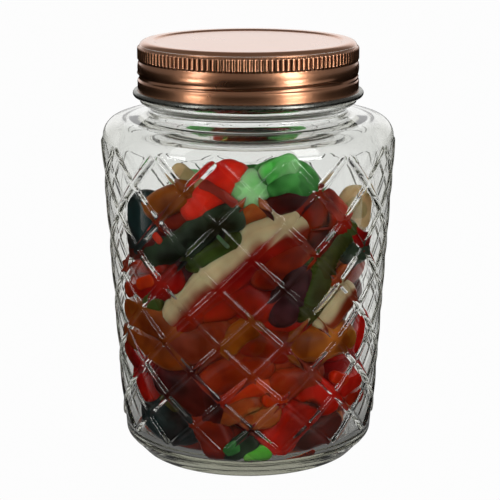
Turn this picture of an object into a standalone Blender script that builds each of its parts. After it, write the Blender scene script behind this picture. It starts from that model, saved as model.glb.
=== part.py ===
"""A shut glass jar of gummy worms: lattice-moulded glass, a screw lid and the heap inside.

Metres, +Z up. The jar stands on z = 0 and is turned about the Z axis; its front faces -Y.
"""
import math
import random

import bmesh
import bpy
from mathutils import Vector

# Driving dimensions of the glass
LATTICE_BOTTOM = 0.0114        # height where the lowest ridges fade out on the heel
LOWEST_ROW = 0.0102            # height of the lowest row of the lattice
ROW_GROWTH = 1.025             # each row is this much taller than the one below
ROWS = 10                      # rows between the ridges' lower and upper ends
RIDGES = 14                    # ridges that climb each way
LATTICE_TURN = math.radians(-11.4)   # turn of the lattice from the front
RIDGE_WIDTH = 0.0030
RIDGE_HEIGHT = 0.0010
CREST_AT_FLOOR = 0.0496       # ridge tops' radius carried down to z = 0
BODY_TAPER = 0.0635            # the body's radius grows this much for each metre up
INNER_AT_FLOOR = 0.0440
INNER_TAPER = 0.0583
FOOT_OUTER, FOOT_INNER = 0.0424, 0.0398
HEEL = 0.0076                  # height of the slanted heel above the foot
HEEL_ROUND = 0.0008            # rounding where the heel meets the foot and the body
PUSH_UP = 0.0012               # the base is hollowed this much inside the foot
FLOOR = 0.0065                 # height of the inside floor
FLOOR_CORNER = 0.0060
SHOULDER_ROUND = 0.0075
SHOULDER_TOP = 0.1335
SHOULDER_GLASS = 0.0043
SHOULDER_CORNER = 0.0055       # rounding inside the shoulder
NECK_RADIUS = 0.0385
BEAD_RADIUS, BEAD_BOTTOM, BEAD_TOP = 0.0421, 0.1388, 0.1408
FINISH_RADIUS = 0.0400         # the neck that the lid screws on
MOUTH_RADIUS = 0.0350
MOUTH_FLARE = 0.0038           # rounding where the mouth opens into the shoulder
NECK_FILLET = 0.0010
BEAD_FLARE = 0.0022            # height over which the neck flares out to the bead
BEAD_ROUND = 0.0007

# Driving dimensions of the lid
LID_TOP = 0.1628
LID_BOTTOM = 0.1413
LID_SKIRT = 0.0429
LID_METAL = 0.0009
LID_REST = 0.0003              # gap between the lid and the rim that it rests on
LID_EDGE = 0.0028              # rounding of the lid's top edge
PANEL_RADIUS, PANEL_SLOPE, PANEL_DROP = 0.0358, 0.0010, 0.0006
KNURL_RADIUS, KNURL_ROOT, KNURL_DEPTH, KNURLS = 0.0429, 0.0424, 0.0004, 126
KNURL_BOTTOM, KNURL_TOP = 0.1555, 0.1606
KNURL_SEAT = 0.0009            # the ring of ribs reaches this far into the lid
SWELL_TOP, SWELL_MIDDLE, SWELL_BOTTOM = 0.1548, 0.1524, 0.1500
THREAD_BOTTOM = 0.1480
GROOVE = 0.0006                # depth of the grooves above and below the swelling
CURL_CENTRE, CURL_RADIUS = 0.0435, 0.0013
RIM = LID_TOP - PANEL_DROP - LID_METAL - LID_REST

# Driving dimensions of the sweets
GAP = 0.0005                   # clear of the glass all round
WORM_THICK = 0.0118
WORM_LONG = 0.062
HEAP_EDGE, HEAP_TOP = 0.094, 0.108   # heights of the bare core at its edge and its middle
CORE_INSET = 0.0085            # the bare core stays this far inside the glass
WORM_SIDES_LEVEL = 1           # bevel level of a six-sided tube
WORM_POINTS = 5
SEED = 7

LATHE_STEPS = 4 * RIDGES
LID_STEPS = 42
CORE_STEPS = 18
MERGE = 0.000001


# ---------------------------------------------------------------- shared shapes

def crest_radius(height):
    """Radius of the ridges' tops."""
    return CREST_AT_FLOOR + BODY_TAPER * height


def panel_radius(height):
    """Radius of the plain glass between the ridges."""
    return crest_radius(height) - RIDGE_HEIGHT


def inner_radius(height):
    """Radius of the jar's smooth inside."""
    return INNER_AT_FLOOR + INNER_TAPER * height


def row_height(row):
    """Height of a crossing row, counted from the ridges' lower ends."""
    return LATTICE_BOTTOM + LOWEST_ROW * (ROW_GROWTH ** row - 1.0) / (ROW_GROWTH - 1.0)


def arc(radius, centre, first, last, count):
    """Profile points (radius, height) round a centre, angles in degrees from outwards."""
    points = []
    for step in range(count):
        angle = math.radians(first + (last - first) * step / (count - 1))
        points.append((centre[0] + radius * math.cos(angle),
                       centre[1] + radius * math.sin(angle)))
    return points


def around(radius, azimuth, height):
    """Point at an azimuth in radians, counted from the front towards +X."""
    return Vector((radius * math.sin(azimuth), -radius * math.cos(azimuth), height))


# ---------------------------------------------------------------- scene helpers

def clear_scene():
    for thing in list(bpy.data.objects):
        bpy.data.objects.remove(thing, do_unlink=True)


def new_collection(name):
    group = bpy.data.collections.new(name)
    bpy.context.scene.collection.children.link(group)
    return group


def material(name, colour, roughness, metallic=0.0, transmission=0.0):
    finish = bpy.data.materials.new(name)
    finish.use_nodes = True
    shader = finish.node_tree.nodes["Principled BSDF"]
    shader.inputs["Base Color"].default_value = (*colour, 1.0)
    shader.inputs["Roughness"].default_value = roughness
    shader.inputs["Metallic"].default_value = metallic
    shader.inputs["Transmission Weight"].default_value = transmission
    finish.diffuse_color = (*colour, 1.0)
    return finish


def object_from(mesh, name, group, finish=None):
    """Store a bmesh as a named object in a collection."""
    data = bpy.data.meshes.new(name)
    mesh.to_mesh(data)
    mesh.free()
    thing = bpy.data.objects.new(name, data)
    group.objects.link(thing)
    if finish:
        data.materials.append(finish)
    return thing


def spin_profile(mesh, points, steps, azimuth=0.0):
    """Turn an open profile of (radius, height) points once round the Z axis."""
    verts = [mesh.verts.new(around(radius, azimuth, height)) for radius, height in points]
    edges = [mesh.edges.new(pair) for pair in zip(verts, verts[1:])]
    bmesh.ops.spin(mesh, geom=verts + edges, cent=(0, 0, 0), axis=(0, 0, 1),
                   angle=math.tau, steps=steps, use_merge=True)


def close_up(mesh):
    """Weld what meets and turn all faces outwards."""
    bmesh.ops.remove_doubles(mesh, verts=mesh.verts, dist=MERGE)
    bmesh.ops.recalc_face_normals(mesh, faces=mesh.faces)


def apply_modifiers(thing):
    """Keep the evaluated shape of an object as its own mesh."""
    graph = bpy.context.evaluated_depsgraph_get()
    shaped = bpy.data.meshes.new_from_object(thing.evaluated_get(graph))
    thing.modifiers.clear()
    thing.data = shaped


def smooth(thing, degrees):
    thing.data.shade_smooth()
    thing.data.set_sharp_from_angle(angle=math.radians(degrees))


# ---------------------------------------------------------------- glass jar

def outline_above():
    """Outer glass from the lattice up to the rim, then down the inside to the floor's middle."""
    top = row_height(ROWS)
    shoulder = (panel_radius(top) - SHOULDER_ROUND, SHOULDER_TOP - SHOULDER_ROUND)
    points = [(panel_radius(top), top)]
    points += arc(SHOULDER_ROUND, shoulder, 12, 90, 4)
    points += [(NECK_RADIUS, SHOULDER_TOP + NECK_FILLET), (NECK_RADIUS, BEAD_BOTTOM - BEAD_FLARE)]
    points += [(BEAD_RADIUS - BEAD_ROUND, BEAD_BOTTOM)]
    points += [(BEAD_RADIUS, BEAD_TOP - BEAD_ROUND), (FINISH_RADIUS, BEAD_TOP)]
    points += [(FINISH_RADIUS, RIM), (MOUTH_RADIUS, RIM)]
    ceiling = SHOULDER_TOP - SHOULDER_GLASS
    points += [(MOUTH_RADIUS, ceiling + MOUTH_FLARE), (MOUTH_RADIUS + MOUTH_FLARE, ceiling)]
    wall = inner_radius(ceiling - SHOULDER_CORNER)
    points += arc(SHOULDER_CORNER, (wall - SHOULDER_CORNER, ceiling - SHOULDER_CORNER), 90, 0, 3)
    low = FLOOR + FLOOR_CORNER
    points += arc(FLOOR_CORNER, (inner_radius(low) - FLOOR_CORNER, low), 0, -90, 3)
    points += [(0.0, FLOOR)]
    return points


def outline_below():
    """The base from its middle to the foot and up the slanted heel to the lattice."""
    base = [(0.0, PUSH_UP), (FOOT_INNER, 0.0), (FOOT_OUTER, 0.0)]
    wall = panel_radius(HEEL)
    heel = [(FOOT_OUTER + HEEL_ROUND, HEEL_ROUND / 2), (wall - HEEL_ROUND / 2, HEEL - HEEL_ROUND)]
    return base + heel + [(panel_radius(LATTICE_BOTTOM), LATTICE_BOTTOM)]


class Lattice:
    """Raised diamonds: crossings lie where column and row are both odd or both even.

    Columns and rows are counted in halves, so that an edge has a vertex at its middle.
    """

    def __init__(self, mesh):
        self.mesh = mesh
        self.verts = {}

    def vertex(self, half_column, half_row):
        key = (half_column % (4 * RIDGES), half_row)
        if key not in self.verts:
            height = row_height(half_row / 2)
            ended = half_row in (0, 2 * ROWS)
            radius = panel_radius(height) if ended else crest_radius(height)
            azimuth = LATTICE_TURN + half_column * math.pi / (2 * RIDGES)
            self.verts[key] = self.mesh.verts.new(around(radius, azimuth, height))
        return self.verts[key]

    def panel(self, column, row):
        """One diamond, cut off level at the lattice's two ends."""
        corners = [(0, 2), (-1, 1), (-2, 0), (-1, -1), (0, -2), (1, -1), (2, 0), (1, 1)]
        if row == ROWS:
            corners = [(0, 0), (-1, 0), (-2, 0), (-1, -1), (0, -2), (1, -1), (2, 0), (1, 0)]
        if row == 0:
            corners = [(0, 2), (-1, 1), (-2, 0), (-1, 0), (0, 0), (1, 0), (2, 0), (1, 1)]
        ring = [self.vertex(2 * column + across, 2 * row + up) for across, up in corners]
        return self.mesh.faces.new(ring)

    def weave(self):
        """All diamonds, each sunk between its ridges."""
        panels = [self.panel(column, row) for row in range(ROWS + 1)
                  for column in range(2 * RIDGES) if (column + row) % 2]
        bmesh.ops.recalc_face_normals(self.mesh, faces=panels)
        rims = set(self.mesh.verts)
        bmesh.ops.inset_individual(self.mesh, faces=panels, thickness=RIDGE_WIDTH / 2,
                                   use_even_offset=True)
        bmesh.ops.poke(self.mesh, faces=panels)
        for vert in self.mesh.verts:
            if vert not in rims:
                lying = Vector((vert.co.x, vert.co.y, 0.0))
                vert.co = lying.normalized() * panel_radius(vert.co.z) + Vector((0, 0, vert.co.z))


def make_jar(group, finish):
    mesh = bmesh.new()
    Lattice(mesh).weave()
    spin_profile(mesh, outline_above(), LATHE_STEPS, LATTICE_TURN)
    spin_profile(mesh, outline_below(), LATHE_STEPS, LATTICE_TURN)
    close_up(mesh)
    jar = object_from(mesh, "glass_jar", group, finish)
    smooth(jar, 35)
    return jar


# ---------------------------------------------------------------- lid

def lid_outline():
    """From the top's middle down the outside, round the curl and back up the inside."""
    inside = LID_SKIRT - LID_METAL
    panel = LID_TOP - PANEL_DROP
    edge = (KNURL_ROOT - LID_EDGE, LID_TOP - LID_EDGE)
    points = [(0.0, panel), (PANEL_RADIUS, panel), (PANEL_RADIUS + PANEL_SLOPE, LID_TOP)]
    points += arc(LID_EDGE, edge, 90, 14, 4)
    points += [(KNURL_ROOT, KNURL_BOTTOM), (LID_SKIRT - GROOVE, SWELL_TOP)]
    points += [(LID_SKIRT, SWELL_MIDDLE), (LID_SKIRT - GROOVE, SWELL_BOTTOM)]
    points += [(LID_SKIRT, THREAD_BOTTOM), (LID_SKIRT, LID_BOTTOM + 2 * CURL_RADIUS)]
    points += arc(CURL_RADIUS, (CURL_CENTRE, LID_BOTTOM + CURL_RADIUS), 45, -90, 3)
    points += [(inside, LID_BOTTOM + LID_REST), (inside, panel - LID_METAL)]
    return points + [(0.0, panel - LID_METAL)]


def turned_object(name, points, steps, group, finish):
    """A profile with a Screw modifier."""
    mesh = bmesh.new()
    verts = [mesh.verts.new((radius, 0.0, height)) for radius, height in points]
    for pair in zip(verts, verts[1:]):
        mesh.edges.new(pair)
    thing = object_from(mesh, name, group, finish)
    screw = thing.modifiers.new("turn", 'SCREW')
    screw.axis = 'Z'
    screw.steps = steps
    screw.render_steps = steps
    screw.use_merge_vertices = True
    screw.merge_threshold = MERGE
    return thing


def make_knurl(group):
    """The ring of small upright ribs round the lid's top edge."""
    hidden = KNURL_RADIUS - KNURL_SEAT
    mesh = bmesh.new()
    loop = [(KNURL_RADIUS, KNURL_TOP), (KNURL_RADIUS, KNURL_BOTTOM),
            (hidden, KNURL_BOTTOM), (hidden, KNURL_TOP), (KNURL_RADIUS, KNURL_TOP)]
    spin_profile(mesh, loop, 2 * KNURLS)
    close_up(mesh)
    for vert in mesh.verts:
        radius = math.hypot(vert.co.x, vert.co.y)
        count = round(math.atan2(vert.co.x, -vert.co.y) * KNURLS / math.pi)
        if radius > KNURL_RADIUS - MERGE and count % 2:
            vert.co.xy *= 1.0 - KNURL_DEPTH / radius
    ring = object_from(mesh, "knurl", group)
    ring.hide_render = True
    ring.display_type = 'WIRE'
    return ring


def make_lid(group, cutters, finish):
    lid = turned_object("lid", lid_outline(), LID_STEPS, group, finish)
    ring = make_knurl(cutters)
    join = lid.modifiers.new("knurl", 'BOOLEAN')
    join.operation = 'UNION'
    join.object = ring
    bpy.context.view_layer.update()
    apply_modifiers(lid)
    bpy.data.objects.remove(ring, do_unlink=True)
    smooth(lid, 30)
    return lid


# ---------------------------------------------------------------- gummy worms

# Sweets that show through the front of the glass: azimuth in degrees from the front and
# height of each end, then the thickness. They lie against the glass.
FRONT_SWEETS = (
    (-58, 0.079, -4, 0.101, 0.0130),    # dark green worm
    (-48, 0.061, 27, 0.103, 0.0145),    # foam-backed red worm
    (38, 0.108, 41, 0.083, 0.0150),     # dark red stub
    (6, 0.108, 28, 0.109, 0.0100),      # dark maroon end
    (-23, 0.109, -3, 0.112, 0.0130),    # bright red
    (-60, 0.097, -36, 0.108, 0.0120),   # orange
    (-76, 0.084, -66, 0.104, 0.0130),   # teal
    (-78, 0.072, -56, 0.080, 0.0120),   # dark red
    (-70, 0.056, -42, 0.046, 0.0140),   # amber
    (-32, 0.062, -16, 0.045, 0.0140),   # pinkish brown
    (-12, 0.083, 22, 0.066, 0.0140),    # dark red, middle
    (4, 0.078, 42, 0.086, 0.0120),      # brown-orange
    (17, 0.067, 38, 0.076, 0.0130),     # purple
    (62, 0.092, 36, 0.062, 0.0100),     # ribbed green worm
    (72, 0.069, 40, 0.055, 0.0120),     # foam-backed worm at the right
    (27, 0.045, 70, 0.050, 0.0150),     # yellow
    (62, 0.108, 82, 0.088, 0.0130),     # tan
    (44, 0.109, 58, 0.099, 0.0120),     # maroon
    (-8, 0.044, 28, 0.036, 0.0150),     # red, low middle
    (24, 0.023, 62, 0.030, 0.0150),     # bright red, low right
    (32, 0.013, 66, 0.018, 0.0120),     # maroon, low right
    (-76, 0.022, -44, 0.013, 0.0130),   # teal, low left
    (-56, 0.035, -20, 0.029, 0.0140),   # maroon, low left
    (-32, 0.025, -14, 0.014, 0.0150),   # red-brown end
    (-13, 0.0130, 20, 0.0135, 0.0120),  # green, at the floor
    (74, 0.036, 88, 0.060, 0.0130),     # red, right wall
    (80, 0.072, 70, 0.088, 0.0120),     # dark green, right wall
)

# Sweets that lie on top of the heap: the place of each end, then the thickness
TOP_SWEETS = (
    ((-0.005, -0.030, 0.110), (0.009, -0.024, 0.112), 0.0130),    # pale green
    ((0.010, -0.036, 0.103), (0.021, -0.014, 0.116), 0.0110),     # bright green
    ((-0.024, -0.022, 0.107), (-0.020, 0.006, 0.112), 0.0100),    # pinkish tan
    ((-0.012, 0.000, 0.110), (0.030, 0.020, 0.108), 0.0130),
    ((-0.034, 0.014, 0.105), (0.006, 0.036, 0.107), 0.0130),
)

BACK_FIRST, BACK_LAST = 92, 276    # azimuths between which the rule fills the wall, in degrees
BACK_COLUMNS, BACK_LEVELS = 4, 5
BACK_LOW, BACK_HIGH = 0.019, 0.096
TOP_HUMP = 0.003


def heap_height(radius):
    """Height of the bare core's domed top."""
    share = radius / inner_radius(HEAP_EDGE)
    return HEAP_TOP - (HEAP_TOP - HEAP_EDGE) * share * share


def core_outline():
    """The bare core, from the top's middle down its side to the floor."""
    low = FLOOR + CORE_INSET
    edge = inner_radius(HEAP_EDGE) - CORE_INSET
    points = [(edge * share, heap_height(edge * share)) for share in (0.0, 0.35, 0.7, 1.0)]
    points += [(inner_radius(0.055) - CORE_INSET, 0.055)]
    return points + [(inner_radius(low) - CORE_INSET - 0.003, low), (0.0, low)]


def tube(name, points, thickness, group):
    """A worm: a bevelled path that narrows to blunt ends, made a closed mesh."""
    curve = bpy.data.curves.new(name, 'CURVE')
    curve.dimensions = '3D'
    curve.bevel_depth = thickness / 2
    curve.bevel_resolution = WORM_SIDES_LEVEL
    curve.use_fill_caps = True
    spline = curve.splines.new('POLY')
    spline.points.add(len(points) - 1)
    for index, place in enumerate(points):
        from_end = min(index, len(points) - 1 - index)
        spline.points[index].co = (*place, 1.0)
        spline.points[index].radius = 0.55 if from_end == 0 else 1.0
    path = bpy.data.objects.new(name, curve)
    group.objects.link(path)
    bpy.context.view_layer.update()
    shaped = bpy.data.meshes.new_from_object(path)
    bpy.data.objects.remove(path, do_unlink=True)
    mesh = bmesh.new()
    mesh.from_mesh(shaped)
    close_up(mesh)
    return object_from(mesh, name, group)


def wall_path(first, last, thickness):
    """A worm's line against the glass between two (azimuth, height) places."""
    points = []
    for step in range(WORM_POINTS):
        share = step / (WORM_POINTS - 1)
        azimuth = first[0] + (last[0] - first[0]) * share
        height = first[1] + (last[1] - first[1]) * share
        height = max(height, FLOOR + GAP + thickness / 2)
        room = inner_radius(height) - GAP
        if height < FLOOR + FLOOR_CORNER:
            room -= 0.0012
        points.append(around(room - thickness / 2, azimuth, height))
    return points


def top_path(first, last):
    """A worm's line on the heap's top, with a slight hump."""
    points = []
    for step in range(WORM_POINTS):
        share = step / (WORM_POINTS - 1)
        hump = Vector((0.0, 0.0, TOP_HUMP * math.sin(math.pi * share)))
        points.append(Vector(first).lerp(Vector(last), share) + hump)
    return points


def back_sweets(draw):
    """Worms laid by rule where the front list has none: rows of slanted worms round the wall."""
    for level in range(BACK_LEVELS):
        middle = BACK_LOW + (BACK_HIGH - BACK_LOW) * level / (BACK_LEVELS - 1)
        for column in range(BACK_COLUMNS):
            width = (BACK_LAST - BACK_FIRST) / BACK_COLUMNS
            azimuth = BACK_FIRST + width * (column + 0.25 + 0.5 * (level % 2))
            azimuth = math.radians(azimuth + draw.uniform(-4, 4))
            slant = math.radians(draw.uniform(12, 34)) * draw.choice((-1, 1))
            half = WORM_LONG / 2 * draw.uniform(0.75, 1.0)
            turn = half * math.cos(slant) / inner_radius(middle)
            climb = half * math.sin(slant)
            yield (azimuth - turn, middle - climb), (azimuth + turn, middle + climb)


def make_worms(group, finish):
    draw = random.Random(SEED)
    heap = turned_object("gummy_worms", core_outline(), CORE_STEPS, group, finish)
    loose = new_collection("worms_to_join")
    for index, (turn_a, high_a, turn_b, high_b, thick) in enumerate(FRONT_SWEETS):
        ends = (math.radians(turn_a), high_a), (math.radians(turn_b), high_b)
        tube(f"front_{index:02d}", wall_path(*ends, thick), thick, loose)
    for index, ends in enumerate(back_sweets(draw)):
        thick = WORM_THICK * draw.uniform(0.95, 1.15)
        tube(f"back_{index:02d}", wall_path(*ends, thick), thick, loose)
    for index, (first, last, thick) in enumerate(TOP_SWEETS):
        tube(f"top_{index:02d}", top_path(first, last), thick, loose)
    join = heap.modifiers.new("join", 'BOOLEAN')
    join.operation = 'UNION'
    join.operand_type = 'COLLECTION'
    join.collection = loose
    bpy.context.view_layer.update()
    apply_modifiers(heap)
    for worm in list(loose.objects):
        bpy.data.objects.remove(worm, do_unlink=True)
    bpy.data.collections.remove(loose)
    keep_outer_body(heap)
    smooth(heap, 50)
    return heap


def keep_outer_body(thing):
    """Drop loose scraps and fill hollows that the joining sealed in: only the largest shell stays."""
    mesh = bmesh.new()
    mesh.from_mesh(thing.data)
    bmesh.ops.remove_doubles(mesh, verts=mesh.verts, dist=MERGE)
    shells = []
    unseen = set(mesh.verts)
    while unseen:
        seed = unseen.pop()
        shell, edge_of_search = {seed}, [seed]
        while edge_of_search:
            vert = edge_of_search.pop()
            for edge in vert.link_edges:
                other = edge.other_vert(vert)
                if other in unseen:
                    unseen.remove(other)
                    shell.add(other)
                    edge_of_search.append(other)
        shells.append(shell)
    shells.sort(key=len)
    scraps = [vert for shell in shells[:-1] for vert in shell]
    bmesh.ops.delete(mesh, geom=scraps, context='VERTS')
    mesh.to_mesh(thing.data)
    mesh.free()


def main():
    clear_scene()
    parts = new_collection("jar_of_gummy_worms")
    cutters = new_collection("cutters")
    make_jar(parts, material("clear_glass", (0.92, 0.95, 0.93), 0.02, transmission=1.0))
    make_lid(parts, cutters, material("copper_lid", (0.72, 0.42, 0.30), 0.28, metallic=1.0))
    make_worms(parts, material("fruit_jelly", (0.55, 0.05, 0.03), 0.25))


main()
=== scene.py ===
import math
import random

import bmesh
import bpy
import numpy as np
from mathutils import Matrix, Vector


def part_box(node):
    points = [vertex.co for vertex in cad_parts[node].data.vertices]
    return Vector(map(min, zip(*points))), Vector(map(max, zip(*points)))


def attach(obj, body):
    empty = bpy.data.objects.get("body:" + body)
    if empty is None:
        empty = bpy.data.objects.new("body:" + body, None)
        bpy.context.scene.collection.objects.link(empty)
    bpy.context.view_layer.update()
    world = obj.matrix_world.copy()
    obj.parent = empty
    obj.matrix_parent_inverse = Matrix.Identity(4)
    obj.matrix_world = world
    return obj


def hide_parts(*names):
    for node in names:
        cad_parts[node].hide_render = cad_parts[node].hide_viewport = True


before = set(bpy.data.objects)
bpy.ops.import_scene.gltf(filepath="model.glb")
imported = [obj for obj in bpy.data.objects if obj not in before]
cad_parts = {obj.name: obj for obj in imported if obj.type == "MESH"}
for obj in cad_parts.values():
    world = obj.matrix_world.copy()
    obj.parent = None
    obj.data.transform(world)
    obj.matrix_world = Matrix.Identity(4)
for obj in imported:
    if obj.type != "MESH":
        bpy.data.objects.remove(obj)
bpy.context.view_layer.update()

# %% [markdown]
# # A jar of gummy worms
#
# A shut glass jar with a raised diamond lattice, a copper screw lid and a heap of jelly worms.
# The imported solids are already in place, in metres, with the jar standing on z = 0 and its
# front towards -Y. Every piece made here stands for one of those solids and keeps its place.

for name in sorted(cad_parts):
    low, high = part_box(name)
    print(name, "from", [round(v * 1000, 1) for v in low], "to", [round(v * 1000, 1) for v in high])

# %% [markdown]
# ## Words for node trees
#
# Ridges, ribs and worms all follow a rule, so Geometry Nodes make them. Laying nodes one by one
# makes long code. Here a number inside a tree is a `Field`: adding or multiplying two fields
# lays a Math node and its links, so that a rule reads like the sum it is.

# %% A number in a node tree
class Field:
    """A number that a node tree works out; arithmetic on it lays Math nodes."""

    def __init__(self, tree, socket):
        self.tree = tree
        self.socket = socket

    def __add__(self, other):
        return self.tree.math('ADD', self, other)

    def __sub__(self, other):
        return self.tree.math('SUBTRACT', self, other)

    def __rsub__(self, other):
        return self.tree.math('SUBTRACT', other, self)

    def __mul__(self, other):
        return self.tree.math('MULTIPLY', self, other)

    def __truediv__(self, other):
        return self.tree.math('DIVIDE', self, other)

    def __pow__(self, other):
        return self.tree.math('POWER', self, other)

    __radd__ = __add__


# %% A tree of nodes
def title(label):
    """A label as Blender shows it: rib_depth becomes Rib depth."""
    return label.replace("_", " ").capitalize()


class Tree:
    """Geometry Nodes with named inputs. It takes a geometry and gives one back."""

    def __init__(self, name, **sizes):
        self.group = bpy.data.node_groups.new(name, 'GeometryNodeTree')
        sockets = self.group.interface
        sockets.new_socket("Geometry", in_out='INPUT', socket_type='NodeSocketGeometry')
        for label, size in sizes.items():
            finish = isinstance(size, bpy.types.Material)
            kind = 'NodeSocketMaterial' if finish else 'NodeSocketFloat'
            made = sockets.new_socket(title(label), in_out='INPUT', socket_type=kind)
            made.default_value = size
        sockets.new_socket("Geometry", in_out='OUTPUT', socket_type='NodeSocketGeometry')
        self.way_in = self.group.nodes.new('NodeGroupInput')
        self.way_out = self.group.nodes.new('NodeGroupOutput')
        self.geometry = self.way_in.outputs["Geometry"]

    def size(self, label):
        """A named input as a field."""
        return Field(self, self.way_in.outputs[title(label)])

    def lay(self, kind, out=0, settings=None, **inputs):
        """Lay one node, link or set its inputs by name and give one of its outputs."""
        node = self.group.nodes.new(kind)
        for key, setting in (settings or {}).items():
            setattr(node, key, setting)
        for label, given in inputs.items():
            self.join(given, node.inputs[label.replace("_", " ")])
        return node.outputs[out]

    def join(self, given, socket):
        """Link a field or a socket to an input, or set a plain value on it."""
        if isinstance(given, Field):
            given = given.socket
        if isinstance(given, bpy.types.NodeSocket):
            self.group.links.new(given, socket)
        else:
            socket.default_value = given

    def math(self, operation, first, second=0.0):
        node = self.group.nodes.new('ShaderNodeMath')
        node.operation = operation
        self.join(first, node.inputs[0])
        self.join(second, node.inputs[1])
        return Field(self, node.outputs[0])

    def largest(self, *fields):
        """The largest of a few fields and numbers, the first of which is a field."""
        result = fields[0]
        for other in fields[1:]:
            result = self.math('MAXIMUM', result, other)
        return result

    def pieces_of(self, vector):
        """The x, y and z of a vector as fields."""
        node = self.group.nodes.new('ShaderNodeSeparateXYZ')
        self.join(vector, node.inputs[0])
        return [Field(self, output) for output in node.outputs]

    def vector(self, x, y, z):
        node = self.group.nodes.new('ShaderNodeCombineXYZ')
        for given, socket in zip((x, y, z), node.inputs):
            self.join(given, socket)
        return node.outputs[0]

    def place(self):
        """Each point's x, y and z."""
        return self.pieces_of(self.lay('GeometryNodeInputPosition'))

    def move(self, geometry, **how):
        return self.lay('GeometryNodeSetPosition', Geometry=geometry, **how)

    def painted(self, geometry, finish):
        """A geometry made smooth, its instances made real and its material set."""
        smooth = self.lay('GeometryNodeSetShadeSmooth', Geometry=geometry)
        real = self.lay('GeometryNodeRealizeInstances', Geometry=smooth)
        return self.lay('GeometryNodeSetMaterial', Geometry=real, Material=finish)

    def end(self, geometry):
        """What the tree gives back."""
        self.group.links.new(geometry, self.way_out.inputs[0])

# %% Running a tree and keeping its result
def run(tree, source, name, **sizes):
    """Run a tree on an object and keep the result as a plain mesh piece at the origin."""
    step = source.modifiers.new(tree.group.name, 'NODES')
    step.node_group = tree.group
    asked = {title(label): size for label, size in sizes.items()}
    for item in tree.group.interface.items_tree:
        if item.in_out == 'INPUT' and item.name in asked:
            step[item.identifier] = asked[item.name]
    graph = bpy.context.evaluated_depsgraph_get()
    mesh = bpy.data.meshes.new_from_object(source.evaluated_get(graph))
    bpy.data.objects.remove(source, do_unlink=True)
    return show(mesh, name)


def show(mesh, name):
    """Put a mesh in the scene as a piece of its own, and say how large it is."""
    mesh.name = name
    piece = bpy.data.objects.new(name, mesh)
    bpy.context.scene.collection.objects.link(piece)
    mesh.calc_loop_triangles()
    corners = np.array([vert.co for vert in mesh.vertices])
    faces = np.array([face.vertices for face in mesh.loop_triangles])
    a, b, c = corners[faces].transpose(1, 0, 2)
    volume = np.einsum("ij,ij->i", a, np.cross(b, c)).sum() / 6
    print(f"{name}: {len(faces)} triangles, {volume * 1e6:.1f} cm3,",
          "from", np.round(corners.min(0) * 1000, 1), "to", np.round(corners.max(0) * 1000, 1))
    return piece


def plain_mesh(name, corners, faces):
    """An object to run a tree on, from corners and faces."""
    mesh = bpy.data.meshes.new(name)
    mesh.from_pydata([tuple(corner) for corner in corners], [], faces)
    thing = bpy.data.objects.new(name, mesh)
    bpy.context.scene.collection.objects.link(thing)
    return thing


# %% [markdown]
# ## Finishes
#
# Each finish is made of shader nodes that read the piece's own Object coordinates, so it needs
# no image and keeps its pattern in place. The words below are short for laying such nodes.
# Constants are set on the Principled shader's own sockets, where an export looks for them.

# %% Helpers for shader nodes
NOISE_RANGE = (0.3, 0.7)           # a noise texture seldom gives less or more
WHITE = (1.0, 1.0, 1.0, 1.0)


class Shading:
    """Short ways to lay shader nodes, for a material or for the world."""

    def __init__(self, owner):
        owner.use_nodes = True
        self.nodes = owner.node_tree.nodes
        self.links = owner.node_tree.links

    def lay(self, kind, settings=None, **inputs):
        """Lay one node and link or set its inputs by name."""
        node = self.nodes.new(kind)
        for key, setting in (settings or {}).items():
            setattr(node, key, setting)
        for label, given in inputs.items():
            self.set(node, label.replace("_", " "), given)
        return node

    def set(self, node, label, given):
        """Link a socket to an input, or set a plain value on it."""
        if isinstance(given, bpy.types.NodeSocket):
            self.links.new(given, node.inputs[label])
        else:
            node.inputs[label].default_value = given

    def math(self, operation, first, second):
        node = self.lay('ShaderNodeMath', settings={"operation": operation})
        self.set(node, 0, first)
        self.set(node, 1, second)
        return node.outputs[0]

    def carry(self, value, old, new, shape='LINEAR'):
        """A value carried over from one range to another."""
        node = self.lay('ShaderNodeMapRange', Value=value, settings={"interpolation_type": shape})
        for label, number in zip(("From Min", "From Max", "To Min", "To Max"), (*old, *new)):
            node.inputs[label].default_value = number
        return node.outputs[0]

    def ramp(self, factor, *stops):
        """A colour ramp from (place, colour) stops."""
        node = self.nodes.new('ShaderNodeValToRGB')
        self.links.new(factor, node.inputs[0])
        steps = node.color_ramp.elements
        while len(steps) < len(stops):
            steps.new(0.5)
        for step, (place, colour) in zip(steps, stops):
            step.position = place
            step.color = (*colour, 1.0)
        return node.outputs["Color"]

    def mix(self, share, first, second, how='MIX'):
        """One colour turning into another as the share goes from 0 to 1."""
        node = self.lay('ShaderNodeMix', settings={"data_type": 'RGBA', "blend_type": how})
        for socket, given in zip((0, 6, 7), (share, first, second)):
            self.set(node, socket, given)
        return node.outputs[2]

    def ray(self, kind):
        """1 for rays of one kind and 0 for all others."""
        return self.lay('ShaderNodeLightPath').outputs[kind]

    def either(self, share, first, second):
        """The first shader where the share is 0, the second where it is 1."""
        node = self.lay('ShaderNodeMixShader')
        for socket, given in zip(node.inputs, (share, first, second)):
            self.links.new(given, socket)
        return node.outputs[0]


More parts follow.
